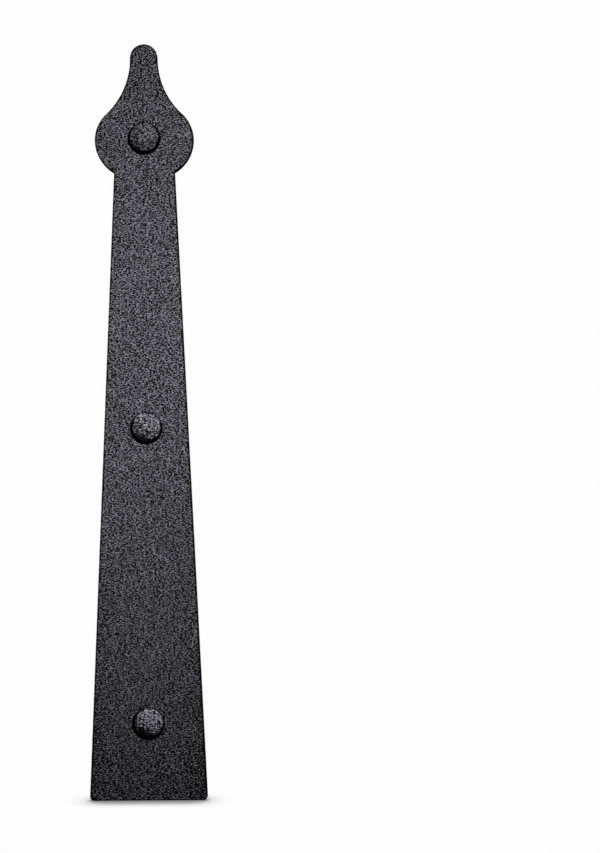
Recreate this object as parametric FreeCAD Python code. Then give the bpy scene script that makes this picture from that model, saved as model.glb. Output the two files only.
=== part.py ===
import FreeCAD, Part
import math
import os

# A black strap for the face of a door leaf, shaped like the long leaf of a strap hinge,
# with the three coach bolts that clamp it through the leaf. Millimetres.
#
# The strap stands upright: +Z runs up it to the spade tip, and -Y is the side that is
# seen. Its back lies in the plane Y = 0, against the leaf, and the leaf fills the space
# from there to the washers. The origin is on that back, on the middle bolt's axis.

# ---- strap: steel plate, cut to outline, with rounded front edges ----
STRAP_LENGTH = 406.4
WIDE_END_WIDTH = 63.5
NECK_WIDTH = 32.74
PLATE_THICKNESS = 3.0
SPADE_WIDTH = 53.2
SPADE_HEIGHT = 354.9  # of the spade's widest place, above the wide end
LOWER_LOBE_RADIUS = 20.5
UPPER_LOBE_RADIUS = 19.0
TIP_RADIUS = 7.4
END_CORNER_RADIUS = 2.3
NECK_CORNER_RADIUS = 0.5
FRONT_EDGE_RADIUS = 0.8
BACK_EDGE_RADIUS = 0.25
SQUARE_HOLE = 6.7

# ---- bolts: heights above the wide end, from the top down ----
BOLT_HEIGHTS = {"upper": 355.6, "middle": 200.0, "lower": 41.3}
DOOR_LEAF = 44.0  # thickness that the bolts clamp

# ---- M6 x 60 coach bolt ----
HEAD_DIAMETER = 16.8
HEAD_HEIGHT = 3.9
HEAD_RIM = 0.6  # straight part of the head, below its dome
HEAD_SHOULDER_RADIUS = 1.0
SQUARE_NECK = 6.4
SQUARE_NECK_LENGTH = 4.0
SQUARE_NECK_CHAMFER = 0.15
BOLT_RADIUS = 3.0
BOLT_LENGTH = 60.0
THREAD_LENGTH = 18.0
THREAD_PITCH = 1.0
THREAD_DEPTH = 0.6134 * THREAD_PITCH
FLANK_ANGLE = 30.0  # each flank, from square across the axis
BOLT_END_CHAMFER = 0.75

# ---- washers and nut ----
FLAT_WASHER_DIAMETER = 18.0
FLAT_WASHER_THICKNESS = 1.6
FLAT_WASHER_EDGE = 0.25
WASHER_HOLE_RADIUS = 3.2
SPRING_WASHER_DIAMETER = 11.4
SPRING_WASHER_THICKNESS = 1.6
SPRING_WASHER_GAP = 1.0
SPRING_WASHER_SLANT = 25.0  # of the gap, from the axis
NUT_ACROSS_FLATS = 10.0
NUT_HEIGHT = 5.2
NUT_BORE_RADIUS = 3.05
NUT_BORE_CHAMFER = 0.4
NUT_FACE_RADIUS = 4.75
NUT_CHAMFER_ANGLE = 30.0
NUT_TURN_STEP = 22.0  # each nut stopped at its own angle, this much on from the last
SPRING_TURN_STEP = 70.0

WIDE_END_Z = -BOLT_HEIGHTS["middle"]
FRONT_Y = -PLATE_THICKNESS
AXIS = FreeCAD.Vector(0, 1, 0)
EPS = 1e-4


def at(x, y, z=0.0):
    return FreeCAD.Vector(x, y, z)


def turned(points):
    """The closed outline [(radius, y), ...] turned about the Y axis into a solid."""
    corners = [at(r, y) for r, y in points]
    face = Part.Face(Part.makePolygon(corners + corners[:1]))
    return face.revolve(at(0, 0), AXIS, 360)


def rod(radius, y_from, y_to):
    return Part.makeCylinder(radius, y_to - y_from, at(0, y_from), AXIS)


def arc_point(centre, radius, degrees):
    """The point (x, height) on a circle of the outline, from +X towards the tip."""
    a = math.radians(degrees)
    return centre[0] + radius * math.cos(a), centre[1] + radius * math.sin(a)


def outline_side():
    """The strap's +X edge from the wide end to the tip's middle, as (kind, points)."""
    half_spade = SPADE_WIDTH / 2
    tip_z = STRAP_LENGTH - TIP_RADIUS
    lower_centre = (half_spade - LOWER_LOBE_RADIUS, SPADE_HEIGHT)
    upper_centre = (half_spade - UPPER_LOBE_RADIUS, SPADE_HEIGHT)

    # The neck is the place where the taper meets the lower lobe.
    neck_angle = -math.degrees(math.acos((NECK_WIDTH / 2 - lower_centre[0]) / LOWER_LOBE_RADIUS))
    neck = arc_point(lower_centre, LOWER_LOBE_RADIUS, neck_angle)

    # The flare is a hollow curve, tangent to the upper lobe and to the tip's side.
    across = TIP_RADIUS - upper_centre[0]
    up = tip_z - SPADE_HEIGHT
    flare_radius = (across**2 + up**2 - UPPER_LOBE_RADIUS**2) / (2 * (UPPER_LOBE_RADIUS - across))
    flare_centre = (TIP_RADIUS + flare_radius, tip_z)
    join_angle = math.degrees(math.atan2(up, flare_centre[0] - upper_centre[0]))
    join = arc_point(upper_centre, UPPER_LOBE_RADIUS, join_angle)

    widest = (half_spade, SPADE_HEIGHT)
    tip_side = (TIP_RADIUS, tip_z)
    return [
        ("line", [(WIDE_END_WIDTH / 2, 0), neck]),
        ("arc", [neck, arc_point(lower_centre, LOWER_LOBE_RADIUS, neck_angle / 2), widest]),
        ("arc", [widest, arc_point(upper_centre, UPPER_LOBE_RADIUS, join_angle / 2), join]),
        ("arc", [join, arc_point(flare_centre, flare_radius, 180 + join_angle / 2), tip_side]),
        ("arc", [tip_side, arc_point((0, tip_z), TIP_RADIUS, 45), (0, STRAP_LENGTH)]),
    ]


def outline_edge(kind, points, side):
    corners = [at(side * x, 0, WIDE_END_Z + h) for x, h in points]
    curve = Part.LineSegment(*corners) if kind == "line" else Part.Arc(*corners)
    return curve.toShape()


def edges_where(shape, test):
    return [e for e in shape.Edges if test(e.BoundBox)]


def strap():
    stretches = outline_side()
    edges = [outline_edge(kind, points, side) for side in (1, -1) for kind, points in stretches]
    wide_end = [at(side * WIDE_END_WIDTH / 2, 0, WIDE_END_Z) for side in (1, -1)]
    edges.append(Part.LineSegment(*wide_end).toShape())
    plate = Part.Face(Part.Wire(Part.__sortEdges__(edges))).extrude(at(0, FRONT_Y))

    neck_z = WIDE_END_Z + stretches[0][1][1][1]
    for radius, z in ((END_CORNER_RADIUS, WIDE_END_Z), (NECK_CORNER_RADIUS, neck_z)):
        upright = edges_where(plate, lambda b: max(b.XLength, b.ZLength) < EPS and abs(b.ZMin - z) < EPS)
        plate = plate.makeFillet(radius, upright)
    for radius, y in ((FRONT_EDGE_RADIUS, FRONT_Y), (BACK_EDGE_RADIUS, 0)):
        rim = edges_where(plate, lambda b: b.YLength < EPS and abs(b.YMin - y) < EPS)
        plate = plate.makeFillet(radius, rim)

    for height in BOLT_HEIGHTS.values():
        corner = at(-SQUARE_HOLE / 2, 2 * FRONT_Y, WIDE_END_Z + height - SQUARE_HOLE / 2)
        plate = plate.cut(Part.makeBox(SQUARE_HOLE, 4 * PLATE_THICKNESS, SQUARE_HOLE, corner))
    return plate


def coach_bolt():
    head = bolt_head()
    neck = Part.makeBox(
        SQUARE_NECK, SQUARE_NECK_LENGTH, SQUARE_NECK, at(-SQUARE_NECK / 2, FRONT_Y, -SQUARE_NECK / 2)
    )
    neck_end = FRONT_Y + SQUARE_NECK_LENGTH
    far_edges = edges_where(neck, lambda b: b.YLength < EPS and abs(b.YMin - neck_end) < EPS)
    neck = neck.makeChamfer(SQUARE_NECK_CHAMFER, far_edges)
    return head.fuse([neck, shank()]).removeSplitter()


def bolt_head():
    """A low dome: a crown arc, then a rounded shoulder that is tangent to it and to the rim."""
    radius = HEAD_DIAMETER / 2
    rim_y = FRONT_Y - HEAD_RIM
    reach = radius - HEAD_SHOULDER_RADIUS
    rise = HEAD_HEIGHT - HEAD_RIM
    crown_radius = (reach**2 + rise**2 - HEAD_SHOULDER_RADIUS**2) / (2 * (rise - HEAD_SHOULDER_RADIUS))
    join_angle = math.asin(reach / (crown_radius - HEAD_SHOULDER_RADIUS))

    def on_arc(centre_x, centre_y, arc_radius, angle):
        return at(centre_x + arc_radius * math.sin(angle), centre_y - arc_radius * math.cos(angle))

    crown_y = FRONT_Y - HEAD_HEIGHT + crown_radius
    crown = [on_arc(0, crown_y, crown_radius, join_angle * share) for share in (0, 0.5, 1)]
    shoulder_mid = on_arc(reach, rim_y, HEAD_SHOULDER_RADIUS, (join_angle + math.pi / 2) / 2)
    arcs = [Part.Arc(*crown), Part.Arc(crown[2], shoulder_mid, at(radius, rim_y))]
    straight = Part.makePolygon([at(radius, rim_y), at(radius, FRONT_Y), at(0, FRONT_Y), crown[0]])
    edges = [arc.toShape() for arc in arcs] + straight.Edges
    return Part.Face(Part.Wire(Part.__sortEdges__(edges))).revolve(at(0, 0), AXIS, 360)


def shank():
    """The plain shank and its thread, whose turns are rings of the real pitch and depth."""
    end_y = FRONT_Y + BOLT_LENGTH
    start_y = end_y - THREAD_LENGTH
    root = BOLT_RADIUS - THREAD_DEPTH
    slope = THREAD_DEPTH * math.tan(math.radians(FLANK_ANGLE))
    points = [(0, FRONT_Y), (BOLT_RADIUS, FRONT_Y)]
    crest_y = start_y
    while crest_y + THREAD_PITCH < end_y - BOLT_END_CHAMFER + EPS:
        points += [(BOLT_RADIUS, crest_y), (root, crest_y + slope), (root, crest_y + THREAD_PITCH - slope)]
        crest_y += THREAD_PITCH
    tip_radius = BOLT_RADIUS - (end_y - crest_y)
    points += [(BOLT_RADIUS, crest_y), (tip_radius, end_y), (0, end_y)]
    return turned(points)


def flat_washer(y):
    outer = FLAT_WASHER_DIAMETER / 2
    far = y + FLAT_WASHER_THICKNESS
    e = FLAT_WASHER_EDGE
    return turned([
        (WASHER_HOLE_RADIUS, y), (outer - e, y), (outer, y + e),
        (outer, far - e), (outer - e, far), (WASHER_HOLE_RADIUS, far),
    ])


def spring_washer(y, turn):
    """A split ring pressed flat, with its slanting gap turned about the bolt."""
    outer = SPRING_WASHER_DIAMETER / 2
    far = y + SPRING_WASHER_THICKNESS
    ring = rod(outer, y, far).cut(rod(WASHER_HOLE_RADIUS, y, far))
    length = 3 * SPRING_WASHER_THICKNESS
    middle = (y + far) / 2
    corner = at(0, middle - length / 2, -SPRING_WASHER_GAP / 2)
    gap = Part.makeBox(SPRING_WASHER_DIAMETER, length, SPRING_WASHER_GAP, corner)
    gap.rotate(at(0, middle), at(1, 0, 0), SPRING_WASHER_SLANT)
    gap.rotate(at(0, 0), AXIS, turn)
    return ring.cut(gap)


def hex_nut(y, turn):
    far = y + NUT_HEIGHT
    corner = NUT_ACROSS_FLATS / 2 / math.cos(math.radians(30))
    angles = [math.radians(60 * i) for i in range(7)]
    hexagon = [at(corner * math.cos(a), y, corner * math.sin(a)) for a in angles]
    prism = Part.Face(Part.makePolygon(hexagon)).extrude(at(0, NUT_HEIGHT))

    # The corners are turned off at both ends, and the bore has a lead-in at both.
    over = corner + NUT_BORE_CHAMFER
    drop = (over - NUT_FACE_RADIUS) * math.tan(math.radians(NUT_CHAMFER_ANGLE))
    mouth = NUT_BORE_RADIUS + NUT_BORE_CHAMFER
    blank = turned([
        (NUT_BORE_RADIUS, y + NUT_BORE_CHAMFER), (mouth, y), (NUT_FACE_RADIUS, y), (over, y + drop),
        (over, far - drop), (NUT_FACE_RADIUS, far), (mouth, far), (NUT_BORE_RADIUS, far - NUT_BORE_CHAMFER),
    ])
    nut = prism.common(blank)
    nut.rotate(at(0, 0), AXIS, turn)
    return nut


def export(name, shape, height):
    """Writes one solid, moved up to its bolt's place."""
    solid = shape.Solids[0]
    if len(shape.Solids) != 1 or not solid.isValid():
        raise ValueError(name + " is not one valid solid")
    solid.translate(at(0, 0, height))
    solid.exportStep("parts/" + name + ".step")
    print(name, "volume", round(solid.Volume, 1), "mm3")


os.makedirs("parts", exist_ok=True)
export("strap", strap(), 0)

spring_y = DOOR_LEAF + FLAT_WASHER_THICKNESS
nut_y = spring_y + SPRING_WASHER_THICKNESS
for number, (place, height) in enumerate(BOLT_HEIGHTS.items()):
    z = WIDE_END_Z + height
    export(place + "_coach_bolt", coach_bolt(), z)
    export(place + "_flat_washer", flat_washer(DOOR_LEAF), z)
    export(place + "_spring_washer", spring_washer(spring_y, SPRING_TURN_STEP * number), z)
    export(place + "_hex_nut", hex_nut(nut_y, NUT_TURN_STEP * number), z)
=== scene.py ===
import math

import bpy
import numpy as np
from mathutils import Matrix, Vector, noise
from mathutils.geometry import tessellate_polygon


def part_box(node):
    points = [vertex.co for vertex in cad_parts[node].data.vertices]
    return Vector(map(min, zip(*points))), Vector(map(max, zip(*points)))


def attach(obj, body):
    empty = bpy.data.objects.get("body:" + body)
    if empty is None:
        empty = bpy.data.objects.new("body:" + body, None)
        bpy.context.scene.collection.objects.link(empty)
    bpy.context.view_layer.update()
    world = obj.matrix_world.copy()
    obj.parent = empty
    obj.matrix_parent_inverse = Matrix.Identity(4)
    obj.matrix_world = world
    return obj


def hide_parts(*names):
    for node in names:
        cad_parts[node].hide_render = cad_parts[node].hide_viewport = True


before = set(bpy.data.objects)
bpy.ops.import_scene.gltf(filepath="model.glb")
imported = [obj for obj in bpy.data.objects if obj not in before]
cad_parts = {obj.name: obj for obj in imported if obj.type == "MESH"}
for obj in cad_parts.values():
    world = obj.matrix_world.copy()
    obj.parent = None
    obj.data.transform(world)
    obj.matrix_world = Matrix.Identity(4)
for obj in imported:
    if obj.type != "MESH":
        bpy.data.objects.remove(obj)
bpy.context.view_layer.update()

# A black strap hinge front with a spade tip, and the coach bolts, washers and nuts that
# clamp it to a door leaf. The strap stands up +Z and is seen from -Y. All in metres.
MM = 0.001

# ---- strap ----
strap_low, strap_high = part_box("strap")
WIDE_END_Z = strap_low.z
STRAP_LENGTH = strap_high.z - strap_low.z
STRAP_FRONT_Y = strap_low.y
WIDE_END_HALF = 31.75 * MM  # half the width that the tapering sides would reach at the wide end
NECK_HALF = 16.37 * MM
SPADE_HALF = 26.6 * MM
SPADE_HEIGHT = 354.9 * MM  # of the spade's widest place, above the wide end
LOWER_LOBE_RADIUS = 20.5 * MM
UPPER_LOBE_RADIUS = 19.0 * MM
TIP_RADIUS = 7.4 * MM
END_CORNER_RADIUS = 2.3 * MM
FRONT_EDGE_RADIUS = 0.8 * MM
BACK_EDGE_RADIUS = 0.25 * MM
SQUARE_HOLE = 6.7 * MM
MESH_STEP = 0.5 * MM  # along the strap's outline
STRAP_COLUMNS = 112  # of faces across the strap's front
SHARP_EDGE = math.radians(42)  # between two faces, from which their shared edge isn't smoothed

# ---- fasteners ----
PLACES = ("upper", "middle", "lower")
HEAD_RADIUS = 8.4 * MM
HEAD_HEIGHT = 3.9 * MM
HEAD_RIM = 0.6 * MM
HEAD_SHOULDER_RADIUS = 1.0 * MM
SQUARE_NECK_HALF = 3.2 * MM
SQUARE_NECK_CORNER = 4.3 * MM  # from the axis to the neck's rounded corners
SQUARE_NECK_END_Y = 1.0 * MM
SQUARE_NECK_CHAMFER = 0.15 * MM
SQUARE_NECK_STEP = 0.02 * MM  # within which the neck's end comes down to the shank
SHANK_RADIUS = 3.0 * MM
THREAD_LENGTH = 18.0 * MM
THREAD_PITCH = 1.0 * MM
THREAD_DEPTH = 0.6134 * MM
THREAD_CREST_HALF = 0.0352  # of a pitch, from the middle of a crest to its edge
THREAD_FLANK = 0.3432  # of a pitch, from a crest's edge down to the root
THREAD_ROW_STEP = 0.1 * MM  # of the mesh, along the thread
TIP_CHAMFER = 0.75 * MM
WASHER_HOLE_RADIUS = 3.2 * MM
FLAT_WASHER_EDGES = (0.12 * MM, 0.22 * MM, 0.3 * MM, 0.1 * MM)  # radii, in rounded_section's order
SECTION_CORNER_POINTS = 4  # on each rounded corner of a washer's section
SPRING_WASHER_EDGE = 0.16 * MM
SPRING_WASHER_GAP = 1.0 * MM
SPRING_WASHER_SLANT = math.radians(25)
NUT_ACROSS_FLATS = 10.0 * MM
NUT_BORE_RADIUS = 3.05 * MM
NUT_FACE_RADIUS = 4.75 * MM
NUT_CHAMFER_SLOPE = math.tan(math.radians(30))
NUT_CORNER_ROOM = 0.7 * MM  # from an end face, all that the turning off of the corners reaches
NUT_PLAIN_ROOM = 1.5 * MM  # from an end face, where the outside is a plain hexagon
NUT_MOUTH = 0.4 * MM  # of the chamfer at each end of the bore
NUT_TURN_STEP = math.radians(22)
SPRING_TURN_STEP = math.radians(70)
SHANK_SIDES = 72
FLAT_WASHER_SIDES = 144
SPRING_WASHER_SIDES = 90
NUT_SIDES = 180

# ---- textured coat ----
PEBBLE_SIZE = 0.85 * MM
SWELL_SCALE = 0.45  # of the broader swells among the pebbles, against the pebbles' own
SWELL_OFFSET = Vector((31.7, 5.2, 11.9))
GRAIN_DEPTH = 0.16 * MM
GRAIN_SCALE = 1750  # of the finest grain, which only the shader draws
GRAIN_STRETCH = (0.58, 1.0, 1.3)  # the finest grain is longer across the strap than along it
GRAIN_CONTRAST = 5.1
COAT_CAST = (1.0, 0.985, 1.14)  # of red, green and blue in the coat's grey
PEBBLE_TONE = 0.45  # how much of the coat's change in tone follows its pebbles
SIDE_RELIEF = 0.35  # of the pebbles' depth, on the strap's edge
SIDE_RELIEF_Y = -2.0 * MM  # where that begins, behind the front
EDGE_SHADE_TONE = 0.03  # of the coat's full tone on the strap's edge: painted shade
EDGE_SHADE_FADE = 0.06 * MM  # behind the front, over which that painted shade comes in
RIM_SHADE_TONE = 0.35  # of the full tone, where the front meets that edge: a painted dark outline
BACK_TONE = 0.3  # on the rear half and the back
END_PAINTED_SHADE = 0.28  # of the tone, towards the wide end: painted shade
END_PAINTED_SHADE_HEIGHTS = (70 * MM, 5 * MM)  # above the wide end, from none of that painted shade to all of it
SIDE_PAINTED_SHADE = 0.22  # of the tone, towards the sides of the strap's lower part: painted shade
SIDE_PAINTED_SHADE_WIDTHS = (0.45, 1.0)  # of half the wide end's width
SIDE_PAINTED_SHADE_HEIGHTS = (220 * MM, 60 * MM)
CREASE_SHADE_WIDTH = 0.25 * MM  # of the painted shade, a black line on the strap round each head
CREASE_SHADE_FADE = 0.3 * MM
CREASE_DEEPENING = 6  # how much more distance counts into the strap than along it, to spare its back

# ---- the heads' coat, with painted light and shade ----
SHOULDER_SHADE_RADIUS = 7.5 * MM  # of the part of each head inside the painted shade on its steep shoulder
SHOULDER_SHADE_FADE = 0.4 * MM
SHOULDER_SHADE_OFFSETS = {  # of that part's middle from the bolt's axis, to the right and up, so the painted shade is widest at the lower left
    "upper": (0.12 * MM, 0.60 * MM),
    "middle": (0.30 * MM, 0.85 * MM),
    "lower": (0.50 * MM, 0.80 * MM),
}
HEAD_PAINTED_LIGHT_TONES = {  # as a share of the coat's: painted shade at the head's lower left and painted highlight at its upper right
    "upper": (0.92, 1.02),
    "middle": (0.30, 1.36),
    "lower": (0.12, 1.45),
}
HEAD_PAINTED_LIGHT_DIRECTION = (0.45, 0.9)  # the direction of that painted light, to the right and up
HEAD_PAINTED_SHADE_FROM = -0.7 * HEAD_RADIUS  # along that direction, from which the head is painted brighter
HEAD_GLOSS = {"upper": 0.1, "middle": 0.9, "lower": 1.0}
HEAD_PAINTED_LIGHT_DEPTH = {"upper": 0.85, "middle": 1.3, "lower": 2.0}  # as a share of the strap's, lighter or darker for each head as painted light and shade


# ======== mesh helpers ========

def new_piece(name, points, faces, materials, face_materials=None):
    """A mesh object made of points and faces, smooth except across sharp edges."""
    mesh = bpy.data.meshes.new(name)
    mesh.from_pydata([tuple(p) for p in points], [], [tuple(f) for f in faces])
    for material in materials:
        mesh.materials.append(material)
    if face_materials is not None:
        mesh.polygons.foreach_set("material_index", face_materials)
    mesh.validate()
    mesh.shade_smooth()
    mesh.set_sharp_from_angle(angle=SHARP_EDGE)
    piece = bpy.data.objects.new(name, mesh)
    bpy.context.scene.collection.objects.link(piece)
    return piece


def stand_for(piece, node):
    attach(piece, "root")
    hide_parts(node)


def steps(length, step):
    return max(2, math.ceil(length / step))


def arc(centre, radius, start, end, step):
    """Points on a circle from one angle in degrees to another, without the last one."""
    count = steps(abs(math.radians(end - start)) * radius, step)
    angles = np.radians(np.linspace(start, end, count + 1)[:-1])
    return np.column_stack((centre[0] + radius * np.cos(angles), centre[1] + radius * np.sin(angles)))


def line(start, end, step):
    """Evenly spaced points from start to end, without the last one."""
    start, end = np.array(start), np.array(end)
    count = steps(np.linalg.norm(end - start), step)
    return start + (end - start) * np.arange(count)[:, None] / count


def between(*loops):
    """Triangles over closed loops of (index, x, z), the first round the rest, which are holes."""
    points = [point for loop in loops for point in loop]
    triangles = []
    for t in tessellate_polygon([[Vector((x, z, 0)) for i, x, z in loop] for loop in loops]):
        (a, ax, az), (b, bx, bz), (c, cx, cz) = (points[v] for v in t)
        turn = (bx - ax) * (cz - az) - (bz - az) * (cx - ax)
        triangles.append((a, b, c) if turn > 0 else (a, c, b))
    return triangles


def bridge(first, second, count):
    """Quads between two closed rings of the same count, given their first vertices."""
    return [
        (first + i, first + (i + 1) % count, second + (i + 1) % count, second + i)
        for i in range(count)
    ]


def add_grain_and_painted_tone(piece, relief_at, tone_at):
    """Presses the coat's pebbles into a mesh, inward only, and keeps their tone as an attribute.

    relief_at gives each point's share of the full depth, and tone_at its share of the full tone, which
    carries the painted shade and highlights.
    """
    mesh = piece.data
    count = len(mesh.vertices)
    at, normal = np.zeros(count * 3), np.zeros(count * 3)
    mesh.vertices.foreach_get("co", at)
    mesh.vertices.foreach_get("normal", normal)
    at, normal = at.reshape(-1, 3), normal.reshape(-1, 3)
    height = np.array([pebble_height(p) for p in at])
    relief = relief_at(at)
    tone = (0.5 + PEBBLE_TONE * (height - 0.5) * relief) * tone_at(at)
    at -= normal * (GRAIN_DEPTH * relief * (1 - height))[:, None]
    mesh.vertices.foreach_set("co", at.ravel())
    mesh.attributes.new("grain", "FLOAT", "POINT").data.foreach_set("value", tone)
    mesh.update()


def pebble_height(p):
    """The coat's leathery relief at a point, from 0 in a pit to 1 on a pebble."""
    q = Vector(p) / PEBBLE_SIZE
    pebbles = noise.noise(q)
    swell = noise.noise(q * SWELL_SCALE + SWELL_OFFSET)
    return min(1.0, max(0.0, 0.5 + 1.1 * pebbles + 0.25 * swell))


def fade(value, zero_at, one_at):
    """0 to 1 as value goes from zero_at to one_at."""
    return np.clip((value - zero_at) / (one_at - zero_at), 0, 1)


# ======== strap ========

def strap_outline():
    """The strap's outline as (x, z), anticlockwise from the wide end's left, and its side's count.

    It holds the wide end's points, then the right side's, the tip's one, and the left side's.
    """
    lower_centre = (SPADE_HALF - LOWER_LOBE_RADIUS, SPADE_HEIGHT)
    upper_centre = (SPADE_HALF - UPPER_LOBE_RADIUS, SPADE_HEIGHT)
    tip_centre = (0, STRAP_LENGTH - TIP_RADIUS)

    # The neck is the place where the taper meets the lower lobe.
    neck_angle = -math.degrees(math.acos((NECK_HALF - lower_centre[0]) / LOWER_LOBE_RADIUS))
    neck_height = SPADE_HEIGHT + LOWER_LOBE_RADIUS * math.sin(math.radians(neck_angle))
    taper = math.atan((WIDE_END_HALF - NECK_HALF) / neck_height)
    corner_x = WIDE_END_HALF - END_CORNER_RADIUS * (math.tan(taper) + 1 / math.cos(taper))
    corner_end = (
        corner_x + END_CORNER_RADIUS * math.cos(taper),
        END_CORNER_RADIUS * (1 + math.sin(taper)),
    )

    # The hollow flare is tangent to the upper lobe and to the tip's side.
    across = TIP_RADIUS - upper_centre[0]
    up = tip_centre[1] - SPADE_HEIGHT
    flare_radius = (across**2 + up**2 - UPPER_LOBE_RADIUS**2) / (2 * (UPPER_LOBE_RADIUS - across))
    flare_centre = (TIP_RADIUS + flare_radius, tip_centre[1])
    join_angle = math.degrees(math.atan2(up, flare_centre[0] - upper_centre[0]))

    columns = np.linspace(-corner_x, corner_x, STRAP_COLUMNS + 1)
    wide_end = np.column_stack((columns, np.zeros(len(columns))))
    right = np.vstack((
        arc((corner_x, END_CORNER_RADIUS), END_CORNER_RADIUS, -90, math.degrees(taper), MESH_STEP)[1:],
        line(corner_end, (NECK_HALF, neck_height), MESH_STEP),
        arc(lower_centre, LOWER_LOBE_RADIUS, neck_angle, 0, MESH_STEP),
        arc(upper_centre, UPPER_LOBE_RADIUS, 0, join_angle, MESH_STEP),
        arc(flare_centre, flare_radius, 180 + join_angle, 180, MESH_STEP),
        arc(tip_centre, TIP_RADIUS, 0, 90, MESH_STEP),
    ))
    outline = np.vstack((wide_end, right, [(0, STRAP_LENGTH)], right[::-1] * (-1, 1)))
    outline[:, 1] += WIDE_END_Z
    return outline, len(right)


def outward(loop):
    """Each point's outward direction, on an anticlockwise loop."""
    along = np.roll(loop, -1, axis=0) - np.roll(loop, 1, axis=0)
    across = np.column_stack((along[:, 1], -along[:, 0]))
    return across / np.linalg.norm(across, axis=1)[:, None]


def edge_profile():
    """(inset, y) from the front face, round its edge, across the side and round the back edge."""
    front, back = FRONT_EDGE_RADIUS, BACK_EDGE_RADIUS
    profile = []
    for a in np.radians(np.linspace(0, 90, 6)):
        profile.append((front * (1 - math.sin(a)), STRAP_FRONT_Y + front * (1 - math.cos(a))))
    for y in np.linspace(STRAP_FRONT_Y + front, -back, 5)[1:]:
        profile.append((0, y))
    for a in np.radians(np.linspace(0, 90, 4)[1:]):
        profile.append((back * (1 - math.cos(a)), -back * (1 - math.sin(a))))
    return profile


def at_depth(points, y):
    """Points (x, z) put at depth y."""
    return np.column_stack((points[:, 0], np.full(len(points), y), points[:, 1]))


def hole_corners(place):
    half, z = SQUARE_HOLE / 2, bolt_z(place)
    return [(-half, z - half), (half, z - half), (half, z + half), (-half, z + half)]


def front_sheet(loop, side_count, first_inner, first_corner):
    """The front's points inside its loop, and its faces: rows across it, open at each hole.

    first_inner and first_corner are the indices of those points and of the first hole's corner.
    """
    wide, top = STRAP_COLUMNS, STRAP_COLUMNS + 1 + side_count
    shares = np.linspace(0, 1, wide + 1)[:, None]
    rows, places = [list(range(wide + 1))], [loop[:wide + 1]]
    for k in range(side_count):
        left, right = top + side_count - k, wide + 1 + k
        start = first_inner + k * (wide - 1)
        rows.append([left, *range(start, start + wide - 1), right])
        places.append(loop[left] + (loop[right] - loop[left]) * shares)
    inner = np.vstack([row[1:-1] for row in places[1:]])

    # A block of faces round each hole gives way to triangles that fit the square.
    faces, blocks = [], []
    heights = np.array([row[0][1] for row in places])
    room = SQUARE_HOLE / 2 + 2 * MESH_STEP
    for h, place in enumerate(PLACES):
        low, high = np.searchsorted(heights, (bolt_z(place) - room, bolt_z(place) + room))
        reach = math.ceil(room / (places[high][-1][0] * 2 / wide)) + 1
        west, east = wide // 2 - reach, wide // 2 + reach
        blocks.append((low, high, west, east))
        around = [(low, c) for c in range(west, east)] + [(r, east) for r in range(low, high)]
        around += [(high, c) for c in range(east, west, -1)] + [(r, west) for r in range(high, low, -1)]
        outer = [(rows[r][c], *places[r][c]) for r, c in around]
        square = [(first_corner + 4 * h + i, *c) for i, c in enumerate(hole_corners(place))]
        faces += between(outer, square)
    for r in range(side_count):
        for c in range(wide):
            if not any(low <= r < high and west <= c < east for low, high, west, east in blocks):
                faces.append((rows[r][c], rows[r][c + 1], rows[r + 1][c + 1], rows[r + 1][c]))
    faces += [(rows[-1][c], rows[-1][c + 1], top) for c in range(wide)]
    return inner, faces


def back_sheet(loop, first_index, first_corner):
    """The plain back's faces: triangles over its loop, open at each square hole."""
    outer = [(first_index + i, x, z) for i, (x, z) in enumerate(loop)]
    holes = [
        [(first_corner + 4 * h + i, x, z) for i, (x, z) in enumerate(hole_corners(place))]
        for h, place in enumerate(PLACES)
    ]
    return [t[::-1] for t in between(outer, *holes)]


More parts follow.
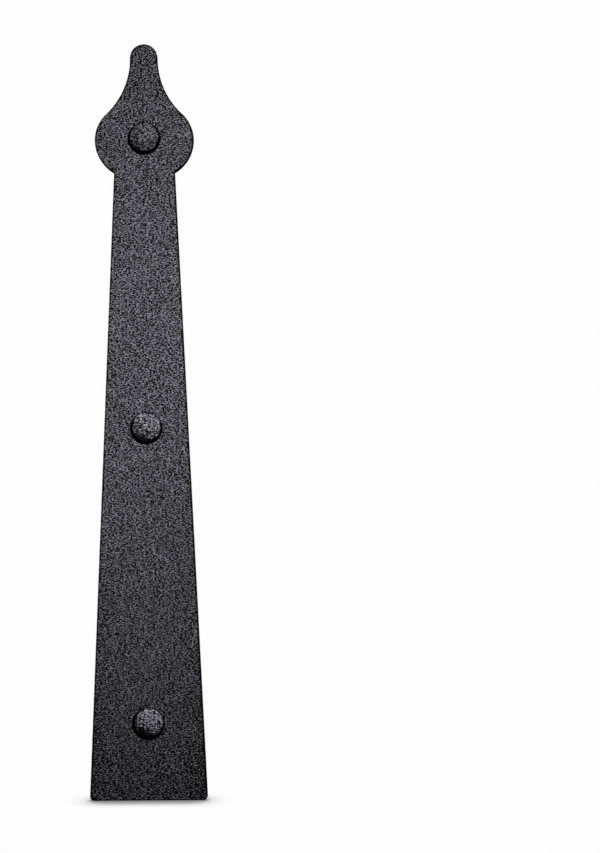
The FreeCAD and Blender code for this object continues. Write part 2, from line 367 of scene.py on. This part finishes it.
def make_strap(material):
    outline, side_count = strap_outline()
    normals = outward(outline)
    profile = edge_profile()
    rings = [outline - normals * inset for inset, y in profile]
    count = len(outline)
    corners = np.array([c for place in PLACES for c in hole_corners(place)])
    front_corner = count * len(rings)
    back_corner = front_corner + len(corners)
    inner, faces = front_sheet(rings[0], side_count, back_corner + len(corners), front_corner)
    points = [at_depth(ring, y) for ring, (inset, y) in zip(rings, profile)]
    points += [at_depth(corners, STRAP_FRONT_Y), at_depth(corners, 0), at_depth(inner, STRAP_FRONT_Y)]

    for k in range(len(rings) - 1):
        faces += [f[::-1] for f in bridge(k * count, (k + 1) * count, count)]
    faces += back_sheet(rings[-1], (len(rings) - 1) * count, back_corner)
    for h in range(len(PLACES)):
        faces += bridge(front_corner + 4 * h, back_corner + 4 * h, 4)
    strap = new_piece("strap_plate", np.vstack(points), faces, [material])

    def relief_at(at):
        """Full relief on the front, less on the sides, none on the back that meets the door."""
        front = fade(at[:, 1], SIDE_RELIEF_Y, STRAP_FRONT_Y)
        return np.where(at[:, 1] > -BACK_EDGE_RADIUS, 0, SIDE_RELIEF + (1 - SIDE_RELIEF) * front)

    def tone_at(at):
        """Painted shade: dark over the strap's edge and its rim, and darker towards the wide end and its
        sides.
        """
        # Painted shade over the rounded edge, and a painted dark outline where it meets the front.
        on_front = fade(at[:, 1], STRAP_FRONT_Y + EDGE_SHADE_FADE, STRAP_FRONT_Y)
        edge = EDGE_SHADE_TONE + (1 - EDGE_SHADE_TONE) * on_front
        edge[:count] = RIM_SHADE_TONE
        up = at[:, 2] - WIDE_END_Z
        side = np.abs(at[:, 0]) / WIDE_END_HALF
        # Painted shade, darker towards the wide end and towards the lower part's sides.
        end = 1 - END_PAINTED_SHADE * fade(up, *END_PAINTED_SHADE_HEIGHTS)
        sides = 1 - SIDE_PAINTED_SHADE * fade(side, *SIDE_PAINTED_SHADE_WIDTHS) * fade(up, *SIDE_PAINTED_SHADE_HEIGHTS)
        return np.where(at[:, 1] < STRAP_FRONT_Y / 2, edge * end * sides, BACK_TONE)

    add_grain_and_painted_tone(strap, relief_at, tone_at)
    stand_for(strap, "strap")


# ======== bolts ========

def bolt_z(place):
    low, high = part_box(place + "_coach_bolt")
    return (low.z + high.z) / 2


def ring_points(radius, y, z, angles):
    """A ring about a bolt's axis; the radius is one number or one for each angle."""
    r = radius * np.ones(len(angles))
    return np.column_stack((r * np.cos(angles), np.full(len(angles), y), z + r * np.sin(angles)))


def disc(radius, sides):
    """A square grid drawn out to a disc: its points (x, z), faces, and rim in turning order."""
    n = sides // 4
    half, size = n // 2, n + 1
    steps_across = np.linspace(-1, 1, size)
    points = []
    for b in steps_across:
        for a in steps_across:
            if abs(a) >= abs(b):
                r, turn = a, (math.pi / 4 * b / a if a else 0)
            else:
                r, turn = b, math.pi / 2 - math.pi / 4 * a / b
            points.append((radius * r * math.cos(turn), radius * r * math.sin(turn)))
    faces = []
    for row in range(n):
        for column in range(n):
            first = row * size + column
            faces.append((first, first + 1, first + size + 1, first + size))
    rim = [r * size + n for r in range(half, size)]
    rim += [n * size + c for c in range(n - 1, -1, -1)]
    rim += [r * size for r in range(n - 1, -1, -1)]
    rim += list(range(1, size))
    rim += [r * size + n for r in range(1, half)]
    return np.array(points), faces, rim


def head_profile():
    """(radius, y) of the head from its crown's edge, round the shoulder, to the strap."""
    reach = HEAD_RADIUS - HEAD_SHOULDER_RADIUS
    rise = HEAD_HEIGHT - HEAD_RIM
    crown_radius = (reach**2 + rise**2 - HEAD_SHOULDER_RADIUS**2) / (2 * (rise - HEAD_SHOULDER_RADIUS))
    join = math.asin(reach / (crown_radius - HEAD_SHOULDER_RADIUS))
    rim_y = STRAP_FRONT_Y - HEAD_RIM
    shoulder = [
        (reach + HEAD_SHOULDER_RADIUS * math.sin(a), rim_y - HEAD_SHOULDER_RADIUS * math.cos(a))
        for a in np.linspace(join, math.pi / 2, 9)
    ]
    rim = [(HEAD_RADIUS, y) for y in np.linspace(rim_y, STRAP_FRONT_Y, 3)[1:]]
    return crown_radius, shoulder + rim


def make_bolt(place, coat, metal):
    """One coach bolt: domed head, square neck, plain shank and a thread cut as a true helix."""
    z = bolt_z(place)
    crown_radius, profile = head_profile()
    head_sides = 2 * SHANK_SIDES
    angles = np.linspace(0, 2 * math.pi, head_sides, endpoint=False)
    crown, crown_faces, crown_rim = disc(profile[0][0], head_sides)
    drop = crown_radius - np.sqrt(crown_radius**2 - (crown**2).sum(axis=1))
    top_y = STRAP_FRONT_Y - HEAD_HEIGHT
    points = [np.column_stack((crown[:, 0], top_y + drop, z + crown[:, 1]))]
    faces = crown_faces
    total = len(crown)
    previous = crown_rim
    for radius, y in profile[1:]:
        points.append(ring_points(radius, y, z, angles))
        ring = list(range(total, total + head_sides))
        for i in range(head_sides):
            j = (i + 1) % head_sides
            faces.append((previous[j], previous[i], ring[i], ring[j]))
        previous, total = ring, total + head_sides

    # Under the head, every second point of its ring carries on into the square neck.
    stations = shank_stations()
    shank_angles = angles[::2]
    for i in range(SHANK_SIDES):
        a, b, c = (previous[(2 * i + k) % head_sides] for k in range(3))
        d, e = total + i, total + (i + 1) % SHANK_SIDES
        faces += [(b, a, d), (b, d, e), (c, b, e)]
    coated = len(faces)
    previous = None
    for radius_at, y in stations:
        points.append(ring_points(radius_at(shank_angles), y, z, shank_angles))
        if previous is not None:
            faces += [f[::-1] for f in bridge(previous, total, SHANK_SIDES)]
        previous, total = total, total + SHANK_SIDES
    points.append([(0, stations[-1][1], z)])
    faces += [(previous + (i + 1) % SHANK_SIDES, previous + i, total) for i in range(SHANK_SIDES)]

    face_materials = [0 if i < coated else 1 for i in range(len(faces))]
    bolt = new_piece(place + "_bolt", np.vstack(points), faces, [coat, metal], face_materials)

    def relief_at(at):
        """Full relief on the dome, none from its rim's foot on."""
        return fade(at[:, 1], STRAP_FRONT_Y, STRAP_FRONT_Y - HEAD_RIM)

    def tone_at(at):
        """Painted shade round the steep shoulder, and painted light from dark at the lower left to bright
        at the upper right.
        """
        across, up = at[:, 0], at[:, 2] - z
        middle_across, middle_up = SHOULDER_SHADE_OFFSETS[place]
        away = np.hypot(across - middle_across, up - middle_up)
        dark, bright = HEAD_PAINTED_LIGHT_TONES[place]
        upward = across * HEAD_PAINTED_LIGHT_DIRECTION[0] + up * HEAD_PAINTED_LIGHT_DIRECTION[1]
        upwards = fade(upward, HEAD_PAINTED_SHADE_FROM, HEAD_RADIUS)
        outside_shoulder_shade = fade(away, SHOULDER_SHADE_RADIUS + SHOULDER_SHADE_FADE, SHOULDER_SHADE_RADIUS - SHOULDER_SHADE_FADE)
        return outside_shoulder_shade * (dark + (bright - dark) * upwards)

    add_grain_and_painted_tone(bolt, relief_at, tone_at)
    stand_for(bolt, place + "_coach_bolt")


def shank_stations():
    """[(radius as a function of the angles, y), ...] down the neck, the shank and the thread."""
    end_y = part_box("middle_coach_bolt")[1].y
    thread_y = end_y - THREAD_LENGTH

    def neck(angles, half=SQUARE_NECK_HALF):
        flat = half / np.maximum(np.abs(np.cos(angles)), np.abs(np.sin(angles)))
        return np.minimum(flat, SQUARE_NECK_CORNER)

    def plain(angles):
        return np.full(len(angles), SHANK_RADIUS)

    def threaded(y):
        ramp = min(1, max(0, (y - thread_y) / THREAD_PITCH))
        cone = SHANK_RADIUS - max(0, y - (end_y - TIP_CHAMFER))

        def radius(angles):
            turn = (y / THREAD_PITCH - angles / (2 * math.pi)) % 1
            off_crest = 0.5 - np.abs(turn - 0.5)
            groove = np.clip((off_crest - THREAD_CREST_HALF) / THREAD_FLANK, 0, 1)
            return np.minimum(SHANK_RADIUS - THREAD_DEPTH * ramp * groove, cone)
        return radius

    stations = [
        (neck, STRAP_FRONT_Y),
        (neck, SQUARE_NECK_END_Y - SQUARE_NECK_CHAMFER),
        (lambda angles: neck(angles, SQUARE_NECK_HALF - SQUARE_NECK_CHAMFER), SQUARE_NECK_END_Y),
        (plain, SQUARE_NECK_END_Y + SQUARE_NECK_STEP),
    ]
    stations += [(plain, y) for y in np.linspace(2 * SQUARE_NECK_END_Y, thread_y - 0.3 * THREAD_PITCH, 8)]
    rows = round(THREAD_LENGTH / THREAD_ROW_STEP)
    stations += [(threaded(y), y) for y in np.linspace(thread_y, end_y, rows + 1)]
    return stations


# ======== washers and nuts ========

def turned_ring(name, stations, sides, z, material):
    """A closed ring about a bolt's axis from stations (radius or function of angles, y)."""
    angles = np.linspace(0, 2 * math.pi, sides, endpoint=False)
    points = []
    for radius, y in stations:
        points.append(ring_points(radius(angles) if callable(radius) else radius, y, z, angles))
    faces = []
    for i in range(len(stations)):
        faces += bridge(i * sides, (i + 1) % len(stations) * sides, sides)
    return new_piece(name, np.vstack(points), faces, [material])


def rounded_section(inner, outer, near, far, radii):
    """A rectangle (radius, y) with rounded corners, in turning order from the inner near one.

    radii are the corners': inner near, inner far, outer far, outer near.
    """
    corners = (
        (inner, near, 1, 1, 270),
        (inner, far, 1, -1, 180),
        (outer, far, -1, -1, 90),
        (outer, near, -1, 1, 0),
    )
    section = []
    for (corner_r, corner_y, outwards, farther, start), radius in zip(corners, radii):
        centre = (corner_r + outwards * radius, corner_y + farther * radius)
        for a in np.radians(np.linspace(start, start - 90, SECTION_CORNER_POINTS)):
            section.append((centre[0] + radius * math.cos(a), centre[1] + radius * math.sin(a)))
    return section


def make_flat_washer(place, material):
    low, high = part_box(place + "_flat_washer")
    outer = (high.x - low.x) / 2
    section = rounded_section(WASHER_HOLE_RADIUS, outer, low.y, high.y, FLAT_WASHER_EDGES)
    washer = turned_ring(place + "_washer", section, FLAT_WASHER_SIDES, (low.z + high.z) / 2, material)
    stand_for(washer, place + "_flat_washer")


def make_spring_washer(place, turn, material):
    """A split ring pressed flat, cut through on a slant."""
    low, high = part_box(place + "_spring_washer")
    z = bolt_z(place)
    outer = max(high.x, -low.x)
    middle_y = (low.y + high.y) / 2
    edges = [SPRING_WASHER_EDGE] * 4
    section = np.array(rounded_section(WASHER_HOLE_RADIUS, outer, low.y, high.y, edges))
    count = len(section)
    sides = SPRING_WASHER_SIDES
    mean_radius = (WASHER_HOLE_RADIUS + outer) / 2
    half_gap = SPRING_WASHER_GAP / 2 / math.cos(SPRING_WASHER_SLANT) / mean_radius
    lean = (section[:, 1] - middle_y) * math.tan(SPRING_WASHER_SLANT) / mean_radius
    points = []
    for share in np.linspace(0, 1, sides + 1):
        angle = half_gap + share * (2 * math.pi - 2 * half_gap) - lean - turn
        points.append(np.column_stack((
            section[:, 0] * np.cos(angle), section[:, 1], z + section[:, 0] * np.sin(angle),
        )))
    faces = []
    for i in range(sides):
        faces += [f[::-1] for f in bridge(i * count, (i + 1) * count, count)]
    faces.append(tuple(range(count)))
    faces.append(tuple(reversed(range(sides * count, (sides + 1) * count))))
    washer = new_piece(place + "_split_washer", np.vstack(points), faces, [material])
    stand_for(washer, place + "_spring_washer")


def make_nut(place, turn, material):
    """A hex nut whose corners are turned off at both ends."""
    low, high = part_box(place + "_hex_nut")
    z = bolt_z(place)
    near, far = low.y, high.y
    sixth = math.pi / 3

    def hexagon(room):
        """The outside at a place this far from the nearer end face."""
        def radius(angles):
            off_flat = (angles + turn) % sixth - sixth / 2
            flat = NUT_ACROSS_FLATS / 2 / np.cos(off_flat)
            return np.minimum(flat, NUT_FACE_RADIUS + room / NUT_CHAMFER_SLOPE)
        return radius

    mouth = NUT_BORE_RADIUS + NUT_MOUTH
    rooms = np.concatenate((np.linspace(0, NUT_CORNER_ROOM, 12), [NUT_PLAIN_ROOM, (far - near) / 2]))
    outside = [(hexagon(room), near + room) for room in rooms]
    outside += [(hexagon(room), far - room) for room in rooms[-2::-1]]
    bore = [
        (mouth, far),
        (NUT_BORE_RADIUS, far - NUT_MOUTH),
        (NUT_BORE_RADIUS, near + NUT_MOUTH),
        (mouth, near),
    ]
    nut = turned_ring(place + "_nut", (bore + outside)[::-1], NUT_SIDES, z, material)
    stand_for(nut, place + "_hex_nut")


# ======== materials ========

METAL_RELIEF = 0.02 * MM  # of the marks on bare and plated steel


class Nodes:
    """A material's node tree, with short calls to add and join nodes."""

    def __init__(self, name):
        self.material = bpy.data.materials.new(name)
        self.material.use_nodes = True
        self.tree = self.material.node_tree
        self.shader = self.tree.nodes["Principled BSDF"]
        self.place = self.add("ShaderNodeTexCoord").outputs["Object"]

    def add(self, kind, **settings):
        node = self.tree.nodes.new(kind)
        for name, value in settings.items():
            setattr(node, name, value)
        return node

    def join(self, source, target):
        self.tree.links.new(source, target)

    def noise(self, scale, detail=2.0, roughness=0.5, stretch=None):
        texture = self.add("ShaderNodeTexNoise")
        texture.inputs["Scale"].default_value = scale
        texture.inputs["Detail"].default_value = detail
        texture.inputs["Roughness"].default_value = roughness
        place = self.place
        if stretch is not None:
            mapping = self.add("ShaderNodeMapping")
            mapping.inputs["Scale"].default_value = stretch
            self.join(place, mapping.inputs["Vector"])
            place = mapping.outputs["Vector"]
        self.join(place, texture.inputs["Vector"])
        return texture.outputs["Fac"]

    def ramp(self, factor, stops):
        """A colour ramp through (position, grey or colour) stops."""
        node = self.add("ShaderNodeValToRGB")
        elements = node.color_ramp.elements
        while len(elements) < len(stops):
            elements.new(0.5)
        for element, (position, colour) in zip(elements, stops):
            element.position = position
            grey = isinstance(colour, float)
            element.color = (colour, colour, colour, 1) if grey else (*colour, 1)
        self.join(factor, node.inputs["Fac"])
        return node.outputs["Color"]

    def multiply(self, first, second):
        node = self.add("ShaderNodeMix", data_type="RGBA", blend_type="MULTIPLY")
        node.inputs["Factor"].default_value = 1
        self.join(first, node.inputs["A"])
        self.join(second, node.inputs["B"])
        return node.outputs["Result"]

    def math(self, operation, first, second):
        node = self.add("ShaderNodeMath", operation=operation)
        for value, socket in zip((first, second), node.inputs):
            if isinstance(value, (int, float)):
                socket.default_value = value
            else:
                self.join(value, socket)
        return node.outputs["Value"]

    def outside_head_shade(self):
        """0 in the painted shade of the crease round each bolt's head on the strap's front, 1 away from
        it.
        """
        deepened = self.add("ShaderNodeVectorMath", operation="MULTIPLY")
        deepened.inputs[1].default_value = (1, CREASE_DEEPENING, 1)
        self.join(self.place, deepened.inputs[0])
        nearest = 1.0
        for place in PLACES:
            away = self.add("ShaderNodeVectorMath", operation="DISTANCE")
            away.inputs[1].default_value = (0, CREASE_DEEPENING * STRAP_FRONT_Y, bolt_z(place))
            self.join(deepened.outputs["Vector"], away.inputs[0])
            nearest = self.math("MINIMUM", away.outputs["Value"], nearest)
        outside = self.add("ShaderNodeMapRange")
        outside.inputs["From Min"].default_value = HEAD_RADIUS + CREASE_SHADE_WIDTH
        outside.inputs["From Max"].default_value = HEAD_RADIUS + CREASE_SHADE_WIDTH + CREASE_SHADE_FADE
        self.join(nearest, outside.inputs["Value"])
        return outside.outputs["Result"]

    def bump(self, height, distance, strength):
        node = self.add("ShaderNodeBump")
        node.inputs["Strength"].default_value = strength
        node.inputs["Distance"].default_value = distance
        self.join(height, node.inputs["Height"])
        return node.outputs["Normal"]


def powder_coat(name, gloss, depth, crease_shaded=False):
    """Black textured powder coat: leathery pebbles, darker and duller in the pits.

    gloss goes from 0 for the dull strap to 1, depth is the colour's share of the strap's, which on
    the heads sets painted light and shade, and a crease-shaded coat is painted black as shade round each
    head.
    """
    n = Nodes(name)
    # The grain attribute holds the pebbles' tone together with the painted shade and highlights.
    pebbles = n.add("ShaderNodeAttribute", attribute_name="grain").outputs["Fac"]
    fine = n.math("SUBTRACT", n.noise(GRAIN_SCALE, 0, stretch=GRAIN_STRETCH), 0.5)
    grain = n.math("MULTIPLY", fine, GRAIN_CONTRAST)
    coated = n.ramp(pebbles, [(0.0, 0.0), (0.25, 1.0)])
    height = n.math("ADD", pebbles, n.math("MULTIPLY", grain, coated))
    # Painted shade: the crease round each head is black.
    if crease_shaded:
        height = n.math("MULTIPLY", height, n.outside_head_shade())
    greys = ((0.00, 0.0002), (0.25, 0.0030), (0.50, 0.0165), (0.75, 0.0660), (1.00, 0.2500))
    tint = n.ramp(height, [(at, [grey * depth * cast for cast in COAT_CAST]) for at, grey in greys])
    patches = n.ramp(n.noise(28, 3), [(0.3, 0.84), (0.7, 1.0)])
    n.join(n.multiply(tint, patches), n.shader.inputs["Base Color"])
    dull = n.ramp(height, [(0.0, 1.0), (0.35, 0.50 - 0.20 * gloss), (0.9, 0.38 - 0.22 * gloss)])
    n.join(dull, n.shader.inputs["Roughness"])
    # Black metal reflects nothing, so the deepest pits, and the crease's painted shade, are metallic.
    n.join(n.ramp(height, [(0.0, 1.0), (0.22, 0.0)]), n.shader.inputs["Metallic"])
    n.join(n.bump(height, GRAIN_DEPTH, 0.8), n.shader.inputs["Normal"])
    n.shader.inputs["Specular IOR Level"].default_value = 0.18 + 0.45 * gloss
    return n.material


def oiled_black():
    """The bolts' shanks: dark, lightly oiled steel with a drawn grain along them."""
    n = Nodes("oiled_black_steel")
    tint = n.ramp(n.noise(260, 4, 0.6), [(0.3, (0.055, 0.052, 0.050)), (0.7, (0.105, 0.100, 0.096))])
    n.join(tint, n.shader.inputs["Base Color"])
    n.shader.inputs["Metallic"].default_value = 0.85
    n.join(n.ramp(n.noise(700, 3), [(0.3, 0.30), (0.7, 0.48)]), n.shader.inputs["Roughness"])
    drawn = n.noise(900, 3, 0.6, stretch=(1.0, 0.06, 1.0))
    n.join(n.bump(drawn, METAL_RELIEF, 0.5), n.shader.inputs["Normal"])
    return n.material


def zinc_plate():
    """Bright zinc plate with a faint straw and blue cast and rolled scratches."""
    n = Nodes("bright_zinc_plate")
    tint = n.ramp(
        n.noise(170, 3, 0.55),
        [(0.30, (0.60, 0.62, 0.66)), (0.50, (0.68, 0.68, 0.68)), (0.72, (0.66, 0.63, 0.56))],
    )
    dull = n.ramp(n.noise(420, 4, 0.6), [(0.35, 0.78), (0.62, 1.0)])
    n.join(n.multiply(tint, dull), n.shader.inputs["Base Color"])
    n.shader.inputs["Metallic"].default_value = 1.0
    n.join(n.ramp(n.noise(650, 4), [(0.3, 0.20), (0.7, 0.40)]), n.shader.inputs["Roughness"])
    scratches = n.noise(500, 4, 0.65, stretch=(1.0, 1.0, 0.12))
    n.join(n.bump(scratches, METAL_RELIEF, 0.35), n.shader.inputs["Normal"])
    return n.material


# ======== stage ========

CAMERA_DISTANCE = 0.85  # from the strap's front
VIEW_HEIGHT = 457.9 * MM  # what the camera takes in, top to bottom, at the strap's front
VIEW_RIGHT = 82.6 * MM  # how far the view's middle lies to the right of the strap's axis
VIEW_UP = 0.4 * MM
CAMERA_ROLL = math.radians(0.41)
SENSOR = 36.0  # in mm, as Blender counts it
STUDIO_WHITE = 0.985  # of the background and of the floor away from the strap
STUDIO_LIGHT = 0.07  # the even light's strength
FLOOR_HALF = 3.0
FLOOR_GAP = 0.02 * MM  # below the strap
CONTACT_REACH = 16 * MM  # of the painted contact shadow on the floor round the strap


def make_camera():
    camera_data = bpy.data.cameras.new("camera")
    camera_data.sensor_width = SENSOR
    camera_data.lens = SENSOR * CAMERA_DISTANCE / VIEW_HEIGHT
    camera_data.clip_start = 0.01
    camera = bpy.data.objects.new("camera", camera_data)
    bpy.context.scene.collection.objects.link(camera)
    place = Matrix.Translation((VIEW_RIGHT, STRAP_FRONT_Y - CAMERA_DISTANCE, VIEW_UP))
    level = Matrix.Rotation(math.pi / 2, 4, "X")
    camera.matrix_world = place @ level @ Matrix.Rotation(-CAMERA_ROLL, 4, "Z")
    bpy.context.scene.camera = camera


def area_light(name, place, target, size, watts, spread=180, shadows=True):
    light_data = bpy.data.lights.new(name, "AREA")
    light_data.shape = "RECTANGLE"
    light_data.size, light_data.size_y = size
    light_data.energy = watts
    light_data.spread = math.radians(spread)
    light_data.use_shadow = shadows
    light = bpy.data.objects.new(name, light_data)
    bpy.context.scene.collection.objects.link(light)
    light.location = place
    light.rotation_euler = (Vector(target) - Vector(place)).to_track_quat("-Z", "Y").to_euler()
    light.visible_camera = False


def make_lights():
    """Two small lights from above, a broad one from the right and two big ones behind.

    The two from above cast no shadows, so that none falls below the heads.
    """
    area_light("key", (0.12, -0.50, 0.56), (0, 0, 0.01), (0.20, 0.16), 0.135, 28, shadows=False)
    area_light("rake", (0.06, -0.26, 0.75), (0, 0, -0.11), (0.14, 0.10), 0.042, 18, shadows=False)
    area_light("fill", (0.52, -0.72, 0.42), (0, 0, 0.16), (0.40, 0.40), 0.34, 38)
    area_light("back_left", (-0.9, 0.9, 0.55), (0, 0.03, 0), (1.2, 1.2), 8)
    area_light("back_right", (0.9, 0.8, 0.3), (0, 0.03, 0), (0.8, 1.2), 5)


def make_world():
    """White to the camera, and a dim even light for everything else."""
    world = bpy.data.worlds.new("studio")
    bpy.context.scene.world = world
    world.use_nodes = True
    tree = world.node_tree
    seen = tree.nodes["Background"]
    seen.inputs["Color"].default_value = (1, 1, 1, 1)
    seen.inputs["Strength"].default_value = STUDIO_WHITE
    lighting = tree.nodes.new("ShaderNodeBackground")
    lighting.inputs["Color"].default_value = (0.96, 0.97, 1.0, 1)
    lighting.inputs["Strength"].default_value = STUDIO_LIGHT
    rays = tree.nodes.new("ShaderNodeLightPath")
    mix = tree.nodes.new("ShaderNodeMixShader")
    tree.links.new(rays.outputs["Is Camera Ray"], mix.inputs[0])
    tree.links.new(lighting.outputs[0], mix.inputs[1])
    tree.links.new(seen.outputs[0], mix.inputs[2])
    tree.links.new(mix.outputs[0], tree.nodes["World Output"].inputs["Surface"])


def make_floor():
    """A glowing white floor at the strap's wide end, whose only shade is a painted contact shadow from
    ambient occlusion.
    """
    mesh = bpy.data.meshes.new("floor")
    half, z = FLOOR_HALF, WIDE_END_Z - FLOOR_GAP
    corners = [(-half, -half, z), (half, -half, z), (half, half, z), (-half, half, z)]
    mesh.from_pydata(corners, [], [(0, 1, 2, 3)])
    material = bpy.data.materials.new("white_floor")
    material.use_nodes = True
    tree = material.node_tree
    tree.nodes.remove(tree.nodes["Principled BSDF"])
    # Painted contact shadow: ambient occlusion darkens the floor's glow.
    contact_shadow = tree.nodes.new("ShaderNodeAmbientOcclusion")
    contact_shadow.inputs["Distance"].default_value = CONTACT_REACH
    contact_shadow.samples = 8
    shade = tree.nodes.new("ShaderNodeValToRGB")
    stops = [(0.42, 0.22), (0.62, 0.28), (0.76, 0.54), (0.90, 0.86), (0.97, STUDIO_WHITE)]
    elements = shade.color_ramp.elements
    while len(elements) < len(stops):
        elements.new(0.5)
    for element, (position, grey) in zip(elements, stops):
        element.position = position
        element.color = (grey, grey, grey, 1)
    glow = tree.nodes.new("ShaderNodeEmission")
    tree.links.new(contact_shadow.outputs["AO"], shade.inputs["Fac"])
    tree.links.new(shade.outputs["Color"], glow.inputs["Color"])
    tree.links.new(glow.outputs[0], tree.nodes["Material Output"].inputs["Surface"])
    mesh.materials.append(material)
    floor = bpy.data.objects.new("floor", mesh)
    bpy.context.scene.collection.objects.link(floor)
    floor.visible_diffuse = False
    floor.visible_glossy = False


# ======== the object ========

strap_coat = powder_coat("strap_powder_coat", 0.0, 1.0, crease_shaded=True)
# Each head's coat is its own copy, lit or shaded in its colour by painted light.
head_coats = {
    place: powder_coat(place + "_head_powder_coat", HEAD_GLOSS[place], HEAD_PAINTED_LIGHT_DEPTH[place])
    for place in PLACES
}
shank_steel = oiled_black()
zinc = zinc_plate()
make_strap(strap_coat)
for number, place in enumerate(PLACES):
    make_bolt(place, head_coats[place], shank_steel)
    make_flat_washer(place, zinc)
    make_spring_washer(place, SPRING_TURN_STEP * number, zinc)
    make_nut(place, NUT_TURN_STEP * number, zinc)

make_camera()
make_world()
make_lights()
make_floor()
bpy.context.scene.view_settings.view_transform = "Standard"
